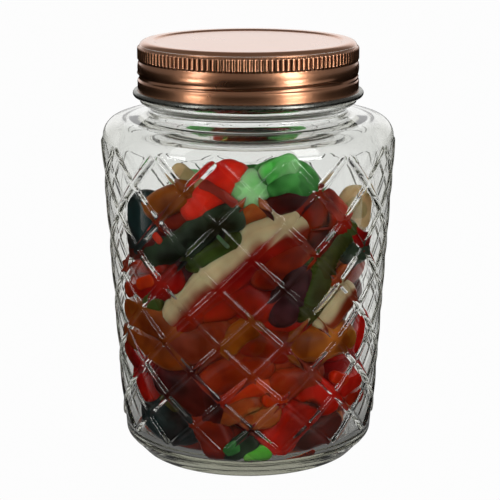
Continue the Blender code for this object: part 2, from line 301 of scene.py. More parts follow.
# %% A finish
class Finish(Shading):
    """A material with a Principled shader."""

    def __init__(self, name):
        self.material = bpy.data.materials.new(name)
        super().__init__(self.material)
        self.shader = self.nodes["Principled BSDF"]
        self.output = self.nodes["Material Output"]

    def surface(self, **inputs):
        """Set or link the Principled shader's inputs."""
        for label, given in inputs.items():
            self.set(self.shader, label.replace("_", " "), given)

    def swap_shader(self, share, other):
        """Let another shader answer in the Principled shader's place where the share is 1."""
        answer = self.either(share, self.shader.outputs[0], other.outputs[0])
        self.links.new(answer, self.output.inputs["Surface"])

    def grain(self, scale, detail=2.0, stretch=(1.0, 1.0, 1.0), shift=0.0):
        """Noise on the piece's own coordinates."""
        where = self.lay('ShaderNodeTexCoord').outputs["Object"]
        laid = self.lay('ShaderNodeMapping', Vector=where, Scale=stretch, Location=(shift, shift, shift))
        noise = self.lay('ShaderNodeTexNoise', Vector=laid.outputs[0], Scale=scale, Detail=detail)
        return noise.outputs[0]

    def spread(self, noise, low, high):
        """Noise carried over to a range of values."""
        return self.carry(noise, NOISE_RANGE, (low, high))

    def shade(self, colour, shades):
        """A colour darkened by another."""
        return self.mix(1.0, colour, shades, how='MULTIPLY')

    def attribute(self, name):
        """A number that the mesh holds for each of its points."""
        return self.lay('ShaderNodeAttribute', settings={"attribute_name": name}).outputs["Fac"]

    def bump(self, height, distance):
        """Small unevenness in how light leaves the surface."""
        return self.lay('ShaderNodeBump', Height=height, Distance=distance, Strength=1.0).outputs[0]


# %% [markdown]
# ### Clear glass
#
# Moulded soda glass is clear, a little grey-green where it is thick, and slightly uneven, so
# that what lies behind it swims a little. A Principled shader with full transmission bends the
# light, and a volume that swallows some of it gives the thick edges their tint. Lamps could not
# shine through a bent surface directly, so for shadow rays alone the glass counts as clear.

# %% The glass finish
RIPPLES, RIPPLE_DEPTH = 95.0, 0.00002                  # ripples to a metre, and their depth in metres
GLASS_TINT, TINT_DENSITY = (0.66, 0.66, 0.59, 1.0), 38.0
GLASS_SHADOW = (0.93, 0.945, 0.937, 1.0)               # what a lamp's light keeps at one surface


def clear_glass():
    glass = Finish("jar_glass")
    ripple = glass.grain(RIPPLES, detail=1.0)
    glass.surface(Base_Color=(0.985, 0.992, 0.988, 1.0), Roughness=0.0, IOR=1.5,
                  Transmission_Weight=1.0, Normal=glass.bump(ripple, RIPPLE_DEPTH))
    glass.swap_shader(glass.ray("Is Shadow Ray"),
                      glass.lay('ShaderNodeBsdfTransparent', Color=GLASS_SHADOW))
    tint = glass.lay('ShaderNodeVolumeAbsorption', Color=GLASS_TINT, Density=TINT_DENSITY)
    glass.links.new(tint.outputs[0], glass.output.inputs["Volume"])
    return glass.material


GLASS = clear_glass()
print("finish:", GLASS.name)

# %% [markdown]
# ## The jar
#
# The body is a cone of plain glass that widens upwards. Fourteen ridges climb it each way and
# cross in rows that grow taller towards the shoulder. Ridges that cross at a slant are hard to
# cut into an ordinary grid, so the sheet of glass is woven instead: its columns and rows run
# along the ridges, and they lie closer together where a ridge will stand.

# %% Sizes of the lattice
RIDGES = 14                        # ridges that climb each way
ROWS = 10                          # rows of crossings
LATTICE_TURN = math.radians(-11.4)  # turn of the lattice from the front
LATTICE_BOTTOM = 0.0114            # height where the lattice starts
LOWEST_ROW = 0.0102                # height of the lowest row
ROW_GROWTH = 1.025                 # each row is this much taller than the one below
RIDGE_HEIGHT = 0.0009
RIDGE_HALF_WIDTH = 0.080           # half a ridge, as a share of the space between two ridges
END_GAP = 0.14                     # ridges stop this share of a space short of the last crossing
CREST_AT_FLOOR = 0.0496            # radius of the ridges' tops, carried down to z = 0
BODY_TAPER = 0.0635                # the radius grows this much for each metre up
STEPS_ON_RIDGE = 7                 # sheet steps from a ridge's top to its foot
STEPS_TO_MIDDLE = 4                # sheet steps from there to the middle of a diamond
RIDGE_ROOM = 1.06                  # the close steps reach this many half widths
STEP_GROWTH = 1.5                  # power by which the steps widen from there


def row_height(row):
    """Height of a row of crossings. Rows between two whole ones may be asked for too."""
    return LATTICE_BOTTOM + LOWEST_ROW * (ROW_GROWTH ** row - 1.0) / (ROW_GROWTH - 1.0)


def panel_radius(height):
    """Radius of the plain glass between the ridges."""
    return CREST_AT_FLOOR - RIDGE_HEIGHT + BODY_TAPER * height


print("lattice from", round(row_height(0), 4), "to", round(row_height(ROWS), 4))


# %% The woven sheet
def steps_across():
    """Places of the sheet's lines between two ridges, from 0 on one to 1 on the next."""
    foot = RIDGE_HALF_WIDTH * RIDGE_ROOM
    near = np.linspace(0.0, foot, STEPS_ON_RIDGE + 1)
    growth = (np.arange(1, STEPS_TO_MIDDLE + 1) / STEPS_TO_MIDDLE) ** STEP_GROWTH
    half = np.concatenate([near, foot + (0.5 - foot) * growth])
    return np.concatenate([half, 1.0 - half[-2:0:-1]])


def line_places(count):
    """Places of the sheet's lines, counted in spaces between ridges, on both sides of zero."""
    one = steps_across()
    numbers = np.arange(-count, count + 1)
    return numbers // len(one) + one[numbers % len(one)]


def around(radius, azimuth, height):
    """A point at an azimuth in radians from the front, counted towards +X."""
    return (radius * math.sin(azimuth), -radius * math.cos(azimuth), height)


PER_SPACE = len(steps_across())
AROUND = RIDGES * PER_SPACE        # sheet lines all round the jar
UP = ROWS * PER_SPACE              # sheet lines from the lattice's foot to its top
PLACES = line_places(AROUND + UP)


def sheet_point(across, up):
    """A corner of the sheet: its place on the glass and its place in the weave."""
    one_way = PLACES[across + AROUND + UP]
    other_way = PLACES[up - across + AROUND + UP]
    height = row_height(one_way + other_way)
    azimuth = LATTICE_TURN + (one_way - other_way) * math.pi / RIDGES
    return around(panel_radius(height), azimuth, height), (one_way, other_way, 0.0)


def woven_sheet():
    """Corners, weave places and faces of the lattice sheet, open at its top and its foot."""
    points, weave = zip(*(sheet_point(across, up) for across in range(AROUND)
                          for up in range(UP + 1)))
    faces = []
    for across in range(AROUND):
        here = across * (UP + 1)
        there = (across + 1) % AROUND * (UP + 1)
        faces.append((here, there, there + 1))
        for up in range(UP - 1):
            faces.append((here + up, there + up + 1, there + up + 2, here + up + 1))
        faces.append((here + UP - 1, there + UP, here + UP))
    return list(points), list(weave), faces


print("sheet:", AROUND, "lines round,", UP, "up,", PER_SPACE, "in a space")

# %% [markdown]
# Above and below the lattice the jar is turned: a shoulder, a neck with a bead, the plain
# mouth under the lid, then the inside wall and floor, and below it the heel and the hollowed base.
# These rings use the sheet's own azimuths, so that they join it without a seam.

# %% Sizes of the turned glass
INNER_AT_FLOOR, INNER_TAPER = 0.0440, 0.0583      # inside radius at z = 0, its growth for each metre
FOOT_OUTER, FOOT_INNER, PUSH_UP = 0.0424, 0.0398, 0.0012     # foot ring, and the base's rise in it
HEEL, HEEL_ROUND = 0.0076, 0.0008                 # foot of the body, rounding of the edges there
HEEL_LINE, HEEL_INSET, FOOT_INSET = 0.0006, 0.0001, 0.0002   # small steps that keep edges crisp
HEEL_CURVE = [(0.0475, 0.0052), (0.0460, 0.0038), (0.0445, 0.0022)]   # from the body to the foot
BASE_CURVE = [(0.0390, 0.0004), (0.0370, 0.0009), (0.0200, PUSH_UP)]  # from the foot to the middle
FLOOR, FLOOR_CORNER, FLOOR_RING = 0.0065, 0.0060, 0.0200     # height inside, rounding, one ring
SHOULDER_ROUND, SHOULDER_TOP = 0.0075, 0.1335
SHOULDER_SLOPE, SHOULDER_GLASS = math.radians(5.4), 0.0043   # fall outwards, thickness of the glass
INNER_ROUND = SHOULDER_ROUND - 0.002              # rounding of the inside under the shoulder
NECK_RADIUS, NECK_FILLET = 0.0385, 0.0010
BEAD_RADIUS, BEAD_BOTTOM, BEAD_TOP = 0.0421, 0.1388, 0.1408
BEAD_LEDGE = 0.0013                               # the bead overhangs the flare below it by this
MOUTH_OUTER, MOUTH_RADIUS, MOUTH_FLARE = 0.0400, 0.0350, 0.0060
RIM, RIM_ROUND = 0.1610, 0.0012


def arc(radius, centre, first, last, count):
    """Outline points round a centre, angles in degrees from outwards."""
    angles = np.radians(np.linspace(first, last, count))
    return [(centre[0] + radius * math.cos(a), centre[1] + radius * math.sin(a)) for a in angles]


def inner_radius(height):
    """Radius of the jar's smooth inside."""
    return INNER_AT_FLOOR + INNER_TAPER * height


def neck_outline():
    """From the lattice's top over the shoulder and up the neck to the bead."""
    top = row_height(ROWS)
    centre = (panel_radius(top) - SHOULDER_ROUND, SHOULDER_TOP - SHOULDER_ROUND)
    slope = math.degrees(SHOULDER_SLOPE)
    over = arc(SHOULDER_ROUND, centre, 2, 90 - slope, 13)
    inward = over[-1][0] - NECK_RADIUS - NECK_FILLET
    rise = inward * math.tan(SHOULDER_SLOPE) + NECK_FILLET / math.cos(SHOULDER_SLOPE)
    fillet = (NECK_RADIUS + NECK_FILLET, over[-1][1] + rise)
    flare = BEAD_RADIUS - NECK_RADIUS - BEAD_LEDGE
    bead = (BEAD_TOP - BEAD_BOTTOM) / 2
    return (over + arc(NECK_FILLET, fillet, 270 - slope, 180, 6)
            + arc(flare, (NECK_RADIUS + flare, BEAD_BOTTOM - flare), 180, 90, 7)
            + arc(bead, (BEAD_RADIUS - bead, BEAD_BOTTOM + bead), -90, 90, 9))


def inside_outline():
    """From the bead up to the rim and down the inside to the floor."""
    ceiling = SHOULDER_TOP - SHOULDER_GLASS
    wall = inner_radius(ceiling - INNER_ROUND)
    low = FLOOR + FLOOR_CORNER
    rim = RIM - RIM_ROUND
    return ([(MOUTH_OUTER, BEAD_TOP), (MOUTH_OUTER, rim)]
            + arc(RIM_ROUND, (MOUTH_OUTER - RIM_ROUND, rim), 20, 90, 4)
            + arc(RIM_ROUND, (MOUTH_RADIUS + RIM_ROUND, rim), 90, 180, 5)
            + arc(MOUTH_FLARE, (MOUTH_RADIUS + MOUTH_FLARE, ceiling + MOUTH_FLARE), 180, 270, 7)
            + arc(INNER_ROUND, (wall - INNER_ROUND, ceiling - INNER_ROUND), 90, 0, 9)
            + arc(FLOOR_CORNER, (inner_radius(low) - FLOOR_CORNER, low), 0, -90, 9)
            + [(FLOOR_RING, FLOOR)])


def base_outline():
    """From the lattice's foot round the heel and under the hollowed base."""
    wall = panel_radius(HEEL)
    edge = [(wall, HEEL + HEEL_LINE), (wall - HEEL_INSET, HEEL),
            (wall - HEEL_ROUND / 2, HEEL - HEEL_ROUND)]
    foot = [(FOOT_OUTER + HEEL_ROUND, HEEL_ROUND), (FOOT_OUTER + HEEL_ROUND / 3, HEEL_ROUND / 3),
            (FOOT_OUTER - FOOT_INSET, 0.0), (FOOT_INNER, 0.0)]
    return edge + HEEL_CURVE + foot + BASE_CURVE


middle = row_height(ROWS / 2)
print("wall half way up:", round((panel_radius(middle) - inner_radius(middle)) * 1000, 2), "mm thick")

# %% Joining sheet and rings
def add_rings(points, faces, first_ring, azimuths, outline, pole, outwards):
    """Turn an outline on from a ring of corners and close it on the axis."""
    ring = first_ring
    count = len(azimuths)
    for radius, height in outline:
        fresh = list(range(len(points), len(points) + count))
        points += [around(radius, azimuth, height) for azimuth in azimuths]
        for k in range(count):
            face = (ring[k], ring[(k + 1) % count], fresh[(k + 1) % count], fresh[k])
            faces.append(face if outwards else face[::-1])
        ring = fresh
    points.append((0.0, 0.0, pole))
    for k in range(count):
        face = (ring[k], ring[(k + 1) % count], len(points) - 1)
        faces.append(face if outwards else face[::-1])


def azimuths_of(points, ring):
    """How far round from the front each corner of a ring lies."""
    return [math.atan2(points[corner][0], -points[corner][1]) for corner in ring]


def jar_blank():
    """The whole jar with its weave places, before the ridges are raised."""
    points, weave, faces = woven_sheet()
    foot_ring = [across * (UP + 1) for across in range(AROUND)]
    top_ring = [corner + UP for corner in foot_ring]
    upwards = neck_outline() + inside_outline()
    add_rings(points, faces, top_ring, azimuths_of(points, top_ring), upwards, FLOOR, True)
    add_rings(points, faces, foot_ring, azimuths_of(points, foot_ring), base_outline(), PUSH_UP, False)
    off = (RIDGES / 2 + 0.5, 0.5, 0.0)   # the middle of a diamond, where no ridge is raised
    weave += [off] * (len(points) - len(weave))
    blank = plain_mesh("jar_blank", points, faces)
    attribute = blank.data.attributes.new("weave", 'FLOAT_VECTOR', 'POINT')
    attribute.data.foreach_set("vector", np.array(weave, np.float32).ravel())
    return blank


# %% [markdown]
# The tree below raises the ridges. For each family it asks how far a point is from the nearest
# ridge line, counting the distance past a ridge's end too, which rounds the end off. The two
# families are then joined so that a crossing stands no higher than a single ridge.

# %% The tree that raises the ridges
FOOT_FREE, FOOT_FADE = 0.002, 0.004    # no unevenness up to this height, all of it so far above


def ridge_tree():
    tree = Tree("Raise the ridges", ridge_height=RIDGE_HEIGHT, half_width=RIDGE_HALF_WIDTH,
                roundness=0.8, lowest_end=END_GAP, highest_end=ROWS - END_GAP,
                unevenness=0.00001, wave=70.0)
    weave = tree.lay('GeometryNodeInputNamedAttribute', settings={"data_type": 'FLOAT_VECTOR'},
                     Name="weave")
    one_way, other_way, _ = tree.pieces_of(weave)

    def ridge(across, along):
        """How high a ridge stands, 1 at its top, from a place across the lines and along them."""
        line = tree.math('ROUND', across)
        row = line + along
        beyond = tree.largest(tree.size("lowest_end") - row, row - tree.size("highest_end"), 0.0)
        away = tree.math('SQRT', (across - line) ** 2.0 + beyond ** 2.0)
        share = tree.math('MINIMUM', away / tree.size("half_width"), 1.0)
        return (1.0 - share ** 2.0) ** tree.size("roundness")

    # Both families, joined so that a crossing stays at 1, push each point straight outwards.
    first, second = ridge(one_way, other_way), ridge(other_way, one_way)
    raised = (first + second - first * second) * tree.size("ridge_height")
    x, y, _ = tree.place()
    radius = tree.math('SQRT', x * x + y * y)
    outward = tree.vector(x * raised / radius, y * raised / radius, 0.0)
    ridged = tree.move(tree.geometry, Offset=outward)

    # Moulded glass is never quite even, but the foot that the jar stands on is left flat.
    noise = tree.lay('ShaderNodeTexNoise', Scale=tree.size("wave"), Detail=0.0)
    height = tree.place()[2]
    clear_of_foot = tree.math('MINIMUM', tree.largest(height - FOOT_FREE, 0.0) / FOOT_FADE, 1.0)
    depth = (Field(tree, noise) - 0.5) * tree.size("unevenness") * 2.0 * clear_of_foot
    nx, ny, nz = tree.pieces_of(tree.lay('GeometryNodeInputNormal'))
    waved = tree.move(ridged, Offset=tree.vector(nx * depth, ny * depth, nz * depth))
    tree.end(tree.painted(waved, GLASS))
    return tree


jar = run(ridge_tree(), jar_blank(), "jar")
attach(jar, "root")
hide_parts("glass_jar")

# %% [markdown]
# ## The lid
#
# The lid is pressed from thin steel and lacquered in satin copper, with a pale lacquer inside.
# Its outline is turned like the jar's. Two things break the turned form and follow a rule of
# their own: the upright ribs that give the fingers a grip, with broad tops and narrow grooves
# between them, and the threads, pressed from the outside so that they show as low beads that
# climb a little as they go round. The copper is darker in the grooves, which is painted shade,
# so the tree that presses the ribs also keeps how deep in a groove each point lies, and the
# finish reads it.

# %% The copper and steel finishes
COPPER_CLOUDS, COPPER_SPECKS, SPECK_DEPTH = 55.0, 2600.0, 0.00001     # how fine, and how deep
STEEL_RUBBING, LACQUER_MOTTLE = 400.0, 300.0
# Painted shade: the copper keeps its colour clear of a rib groove and is darkened deep in it.
GROOVE_SHADE_STOPS = (0.35, (1.0, 1.0, 1.0)), (0.75, (0.12, 0.07, 0.05))    # clear of a groove, deep in it


def satin_copper():
    copper = Finish("satin_copper")
    cloudy = copper.grain(COPPER_CLOUDS, detail=3.0)
    speck = copper.grain(COPPER_SPECKS, detail=1.0)
    colour = copper.ramp(cloudy, (0.35, (0.84, 0.38, 0.20)), (0.65, (0.89, 0.43, 0.24)))
    # Painted shade in the rib grooves, darker the deeper a point lies in one.
    groove_shade = copper.ramp(copper.attribute("groove"), *GROOVE_SHADE_STOPS)
    copper.surface(Base_Color=copper.shade(colour, groove_shade), Metallic=1.0,
                   Roughness=copper.spread(cloudy, 0.27, 0.31),
                   Normal=copper.bump(speck, SPECK_DEPTH), Coat_Weight=0.8, Coat_Roughness=0.1)
    return copper.material


def bare_steel():
    steel = Finish("bare_steel")
    rub = steel.grain(STEEL_RUBBING, stretch=(1.0, 1.0, 6.0))
    steel.surface(Base_Color=(0.30, 0.30, 0.27, 1.0), Metallic=1.0,
                  Roughness=steel.spread(rub, 0.22, 0.36))
    return steel.material


def white_lacquer():
    lacquer = Finish("white_lacquer")
    mottle = lacquer.grain(LACQUER_MOTTLE)
    mottled = lacquer.ramp(mottle, (0.3, (0.74, 0.73, 0.70)), (0.7, (0.80, 0.79, 0.76)))
    lacquer.surface(Base_Color=mottled, Roughness=0.35)
    return lacquer.material


COPPER, STEEL, LACQUER = satin_copper(), bare_steel(), white_lacquer()
print("finishes:", COPPER.name, STEEL.name, LACQUER.name)

# %% Sizes of the lid
LID_TOP, LID_BOTTOM, LID_SKIRT = 0.1628, 0.1413, 0.0429          # two heights and a radius
LID_METAL, LID_EDGE = 0.0009, 0.0028                             # thickness, rounding at the top
PANEL_RADIUS, PANEL_SLOPE, PANEL_DROP = 0.0358, 0.0010, 0.0006   # the sunk middle of the top
PANEL_SOFT, PANEL_SHIFT = 0.0007, 0.0003                         # its rounded edge
PANEL_RINGS = (0.018, 0.031)                                     # rings on the flat of it
RIBS, RIB_BOTTOM, RIB_TOP = 126, 0.1555, 0.1606
CORNERS_TO_A_RIB = 6                      # the outline is turned in this many steps for each rib
RIB_ROOT, RIB_DEPTH = 0.0423, 0.0006
RIB_END, END_RINGS = 0.0007, 0.0009       # ribs round off over one, rings lie close over the other
RIB_FLATNESS, SWELL_FLATNESS = 0.35, 0.6  # powers of a wave: the smaller, the flatter its top
SWELL_TOP, SWELL_BOTTOM, GROOVE = 0.1550, 0.1500, 0.0005
WAIST, WAIST_TOP, WAIST_BOTTOM = 0.0423, 0.1497, 0.1484          # the narrow band under the swelling
WAIST_FOOT = [(0.0425, 0.1481), (0.0428, 0.1478), (LID_SKIRT, 0.1474)]
SKIRT_RINGS, SKIRT_FLARE = (0.1462, 0.1445), 0.0001
CURL_RADIUS, CURL_CENTRE = 0.0013, 0.0435
CURL_ROOM, LIP = 0.0003, [(0.0432, 0.0014), (LID_SKIRT - LID_METAL, 0.0006)]   # lip: radius, height
THREAD_STARTS, THREAD_LOW, THREAD_CLIMB, THREAD_TURN = 3, 0.1484, 0.0024, math.radians(-66)
THREAD_HEIGHT, THREAD_WIDTH = 0.00042, 0.0006
THREAD_FADE = 12.0                        # a thread rises over a twelfth of its length at each end
ON_THE_WALL, OFF_THE_WALL = 0.00003, 0.0001   # up to, and from, which a point is in or outside
print("ribs:", RIBS, "spaced", round(math.tau * RIB_ROOT / RIBS * 1000, 2), "mm")


def rounded_swell(count=14):
    """The swelling under the ribs as (radius, height) points, with a groove above and below."""
    reach = SWELL_TOP - SWELL_BOTTOM
    points = []
    for share in np.linspace(0.0, 1.0, count):
        out = math.sin(math.pi * share) ** SWELL_FLATNESS
        points.append((LID_SKIRT - GROOVE * (1.0 - out), SWELL_TOP - reach * share))
    return points


def close_rings(radius, first, last):
    """Five rings of one radius between two heights."""
    return [(radius, height) for height in np.linspace(first, last, 5)]


def lid_outline():
    """From the top panel out over the edge, down the skirt and back up inside."""
    panel = LID_TOP - PANEL_DROP
    points = [(radius, panel) for radius in PANEL_RINGS]
    points += arc(PANEL_SOFT, (PANEL_RADIUS - PANEL_SHIFT, panel + PANEL_SOFT), -90, -40, 4)
    rise = (PANEL_RADIUS + PANEL_SLOPE + PANEL_SHIFT, LID_TOP - PANEL_SOFT)
    points += arc(PANEL_SOFT, rise, 140, 90, 4)
    points += arc(LID_EDGE, (RIB_ROOT - LID_EDGE, LID_TOP - LID_EDGE), 90, 18, 10)
    points += close_rings(RIB_ROOT, RIB_TOP, RIB_TOP - END_RINGS)
    points += close_rings(RIB_ROOT, RIB_BOTTOM + END_RINGS, RIB_BOTTOM)
    points += rounded_swell() + close_rings(WAIST, WAIST_TOP, WAIST_BOTTOM) + WAIST_FOOT
    points += [(LID_SKIRT, height) for height in SKIRT_RINGS]
    points += [(LID_SKIRT + SKIRT_FLARE, LID_BOTTOM + 2 * CURL_RADIUS - CURL_ROOM)]
    points += [(radius, LID_BOTTOM + height) for radius, height in LIP]
    return points + [(LID_SKIRT - LID_METAL, panel - LID_METAL)]


def turned(name, outline, count, first, last):
    """A closed turned form between two places on the axis, outline given from top to foot."""
    azimuths = [math.tau * step / count for step in range(count)]
    points = [around(outline[0][0], azimuth, outline[0][1]) for azimuth in azimuths]
    faces = []
    add_rings(points, faces, list(range(count)), azimuths, outline[1:], last, False)
    points.append((0.0, 0.0, first))
    faces += [(k, (k + 1) % count, len(points) - 1) for k in range(count)]
    return plain_mesh(name, points, faces)


# %% The tree that presses ribs and threads
def pressing_tree():
    tree = Tree("Press ribs and threads", ribs=RIBS, rib_depth=RIB_DEPTH, rib_bottom=RIB_BOTTOM,
                rib_top=RIB_TOP, rib_end=RIB_END, starts=THREAD_STARTS, thread_low=THREAD_LOW,
                thread_climb=THREAD_CLIMB, thread_height=THREAD_HEIGHT, thread_width=THREAD_WIDTH)
    x, y, z = tree.place()
    radius = tree.math('SQRT', x * x + y * y)
    azimuth = tree.math('ARCTAN2', x, y * -1.0)

    # Ribs: a wave round the lid, between a lower and an upper end that both round off.
    wave = tree.math('ABSOLUTE', tree.math('COSINE', azimuth * tree.size("ribs") * 0.5))
    inside = tree.math('MINIMUM', z - tree.size("rib_bottom"), tree.size("rib_top") - z)
    fade = tree.math('MINIMUM', tree.largest(inside / tree.size("rib_end"), 0.0), 1.0)
    rib = wave ** RIB_FLATNESS * (1.0 - (1.0 - fade) ** 2.0) ** 0.5 * tree.size("rib_depth")

    # Threads: each climbs over its own share of a turn. Ten whole turns keep that above zero.
    turns = (azimuth - THREAD_TURN) / math.tau * tree.size("starts") + 10.0
    share = tree.math('FRACT', turns)
    middle = tree.size("thread_low") + share * tree.size("thread_climb")
    off = (z - middle) / tree.size("thread_width")
    ends = tree.math('MINIMUM', tree.math('MINIMUM', share, 1.0 - share) * THREAD_FADE, 1.0)
    bead = tree.math('EXPONENT', off * off * -1.0) * ends * tree.size("thread_height")

    # Only the outside moves. The inside of the sheet is lacquered instead of coppered.
    outside = tree.math('GREATER_THAN', radius, LID_SKIRT - LID_METAL + OFF_THE_WALL)
    pushed = (rib + bead) * outside / radius
    # How deep in a groove each point lies is kept, so that the copper finish can paint shade there.
    kept = tree.lay('GeometryNodeStoreNamedAttribute', Geometry=tree.geometry, Name="groove",
                    Value=(1.0 - wave) * fade * outside,
                    settings={"data_type": 'FLOAT', "domain": 'POINT'})
    moved = tree.move(kept, Offset=tree.vector(x * pushed, y * pushed, 0.0))
    under = tree.math('LESS_THAN', z, LID_TOP - PANEL_DROP - LID_METAL + ON_THE_WALL)
    within = tree.math('LESS_THAN', radius, LID_SKIRT - LID_METAL + ON_THE_WALL) * under
    lined = tree.lay('GeometryNodeSetMaterial', Geometry=tree.painted(moved, COPPER),
                     Material=LACQUER, Selection=within)
    tree.end(lined)
    return tree


lid_blank = turned("lid_blank", lid_outline(), CORNERS_TO_A_RIB * RIBS, LID_TOP - PANEL_DROP,
                   LID_TOP - PANEL_DROP - LID_METAL)
lid = run(pressing_tree(), lid_blank, "screw_lid")

# %% [markdown]
# The skirt's lower edge is rolled outwards into a bead, so that no raw edge is left. Lacquer
# wears thin there and grey steel shows. A circle spun round the axis makes it.

# %% The rolled edge
CURL_SIDES, CURL_STEPS = 16, 192


def rolled_edge():
    mesh = bmesh.new()
    centre = (CURL_CENTRE, LID_BOTTOM + CURL_RADIUS)
    ring = [mesh.verts.new(around(radius, 0.0, height)) for radius, height in
            arc(CURL_RADIUS, centre, 0, 360 - 360 / CURL_SIDES, CURL_SIDES)]
    edges = [mesh.edges.new((ring[k - 1], ring[k])) for k in range(len(ring))]
    bmesh.ops.spin(mesh, geom=ring + edges, cent=(0, 0, 0), axis=(0, 0, 1), angle=math.tau,
                   steps=CURL_STEPS, use_merge=True)
    bmesh.ops.remove_doubles(mesh, verts=mesh.verts, dist=0.000001)
    bmesh.ops.recalc_face_normals(mesh, faces=mesh.faces)
    data = bpy.data.meshes.new("rolled_edge")
    mesh.to_mesh(data)
    mesh.free()
    data.shade_smooth()
    data.materials.append(STEEL)
    return show(data, "rolled_edge")


rolled = rolled_edge()
for piece in (lid, rolled):
    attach(piece, "root")
    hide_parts("lid")

# %% [markdown]
# ## The sweets
#
# Gummy worms are poured as warm jelly into starch moulds, so each is a soft rod with round ends;
# some have a back of whipped cream foam, and some are ribbed. Packed in a jar they flatten
# against the glass, and through the jar only their sides, ends and folds show.
#
# A worm follows its own middle line, so each kind is swept along its lines by one tree. The
# lines of those that show in the photograph are listed one by one. The others follow a seeded rule.
#
# Light enters jelly and comes out near by, which subsurface scattering shows. The colour of each
# kind drifts between a deep and a bright one, takes on some glow of its warm neighbours, and
# turns deeper in patches laid by a noise, edged by thin pale lines that are painted highlights.

# %% The jelly finishes
def screen(colour):
    """A colour as it looks on a screen, 0 to 255, turned into light."""
    return tuple((part / 255) ** 2.2 for part in colour)


# What is left of a colour outside a patch, on the thin pale line at its edge, which is a painted
# highlight, and inside it.
HIGHLIGHT_LINE = (1.0, 1.0, 1.0)
PATCH_PLACES = (0.478, 0.490, 0.502)
WARM_PATCHES = ((1.0, 0.84, 0.76), HIGHLIGHT_LINE, (0.95, 0.58, 0.42))
COOL_PATCHES = ((0.94, 0.96, 0.92), HIGHLIGHT_LINE, (0.62, 0.72, 0.62))
COOL_UP_TO = 0.04                  # kinds that share no more glow than this are cool ones
GLOW = (0.38, screen((88, 8, 4))), (0.64, screen((150, 72, 14)))
CLOUDS, GLOW_CLOUDS, PATCHES = 75.0, 32.0, 38.0      # how fine each noise is
PATCH_SHIFT = 0.37                 # each material's patches lie this much further along
FOAM_TEAR, FOAM_EDGE = 0.16, (-0.22, 0.34)           # raggedness and width of a foam back's edge
LIGHT_REACH, REACH_SCALE = 0.25, 0.008               # light that every colour lets through, and how far


def jelly(name, deep, bright, shared=0.25, clear=0.25, foam=None):
    """Clouded jelly between two colours; a share of it takes on the glow of its neighbours.

    In patches laid by a noise the colour turns deeper, and thin pale lines at their edges are painted
    highlights.

    A worm with a foam back turns into the foam's colour over its side attribute.
    """
    finish = Finish(name)
    cloudy = finish.grain(CLOUDS, detail=2.0)
    own = finish.ramp(cloudy, (0.36, screen(deep)), (0.66, screen(bright)))
    glow = finish.ramp(finish.grain(GLOW_CLOUDS, detail=1.0), *GLOW)
    patch_noise = finish.grain(PATCHES, detail=2.5, shift=PATCH_SHIFT * len(bpy.data.materials))
    patches = WARM_PATCHES if shared > COOL_UP_TO else COOL_PATCHES
    # Painted highlights: thin pale lines at the edges of the patches where the colour turns deeper.
    patches_and_highlight_lines = finish.ramp(patch_noise, *zip(PATCH_PLACES, patches))
    colour = finish.shade(finish.mix(shared, own, glow), patches_and_highlight_lines)
    if foam:
        torn = finish.math('ADD', finish.attribute("side"), finish.spread(cloudy, -FOAM_TEAR, FOAM_TEAR))
        back = finish.carry(torn, FOAM_EDGE, (0.0, 1.0), shape='SMOOTHSTEP')
        cream = finish.ramp(cloudy, (0.3, screen(foam[0])), (0.7, screen(foam[1])))
        colour = finish.mix(back, colour, cream)
    reach = tuple(LIGHT_REACH + part for part in screen(bright))
    finish.surface(Base_Color=colour, Roughness=0.38, IOR=1.42, Specular_IOR_Level=0.06,
                   Subsurface_Weight=1.0, Subsurface_Radius=reach,
                   Subsurface_Scale=REACH_SCALE, Transmission_Weight=clear)
    return finish.material


# %% The kinds of jelly
#        kind: deep colour, bright colour and, where it isn't 0.25, the share of glow
COLOURS = {
    "bright_red": ((190, 22, 14), (240, 66, 48), 0.05),
    "red": ((135, 12, 10), (196, 32, 24), 0.15),
    "dark_red": ((84, 3, 3), (164, 14, 10)),
    "maroon": ((98, 34, 36), (165, 84, 80), 0.1),
    "dark_maroon": ((36, 12, 16), (80, 28, 32), 0.1),
    "brown_red": ((92, 24, 12), (150, 50, 26)),
    "pink_brown": ((92, 30, 20), (140, 66, 46)),
    "brown": ((110, 46, 24), (165, 92, 54)),
    "orange_brown": ((112, 44, 14), (176, 104, 52)),
    "red_orange": ((140, 22, 6), (205, 62, 16), 0.2),
    "amber": ((92, 46, 8), (150, 92, 28)),
    "yellow": ((116, 68, 8), (184, 132, 46), 0.15),
    "tan": ((168, 134, 96), (214, 186, 146), 0.04),
    "purple": ((20, 8, 12), (70, 42, 52), 0.1),
    "dark_green": ((18, 30, 20), (60, 78, 60), 0.04),
    "olive_green": ((24, 52, 16), (62, 92, 40), 0.1),
    "green": ((34, 92, 40), (92, 176, 92), 0.04),
    "leaf_green": ((60, 140, 40), (124, 214, 84), 0.0),
    "bright_green": ((96, 196, 92), (170, 232, 162), 0.0),
    "teal": ((1, 15, 18), (8, 50, 54), 0.04),
}
CREAM = ((142, 124, 94), (186, 170, 134))
BACKED_COLOURS = {
    "foam_red": ("foam_backed_red_jelly", (84, 8, 8), (140, 28, 24)),
    "foam_brown": ("foam_backed_brown_jelly", (84, 26, 16), (130, 60, 40)),
}
JELLIES = {kind: jelly(kind + "_jelly", *colours) for kind, colours in COLOURS.items()}
for kind, colours in BACKED_COLOURS.items():
    JELLIES[kind] = jelly(*colours, foam=CREAM, clear=0.1)
print(len(JELLIES), "jellies")

# %% [markdown]
# ### One tree for every worm
#
# The tree bends a worm's middle line a little, sweeps a ring along it that closes to a round end,
# and makes the rod lumpy. Last it presses the sweet: whatever would reach past the wall or the
# floor is brought back to it, softly, so that the sweet lies flat against the glass.

# %% The tree that sweeps a worm
SWEET_GAP = -0.0003                # worms are pressed this far into the glass
FLOOR_GAP = 0.0003                 # air under the lowest worms
WORM_SIDES = 22
RING_MERGE = 0.00001               # the last ring at each end closes to a point
WAVER = 55.0                       # how fine the bends are that chance gives a middle line
STEEPEST = 60.0                    # keeps the exponential below from growing without end


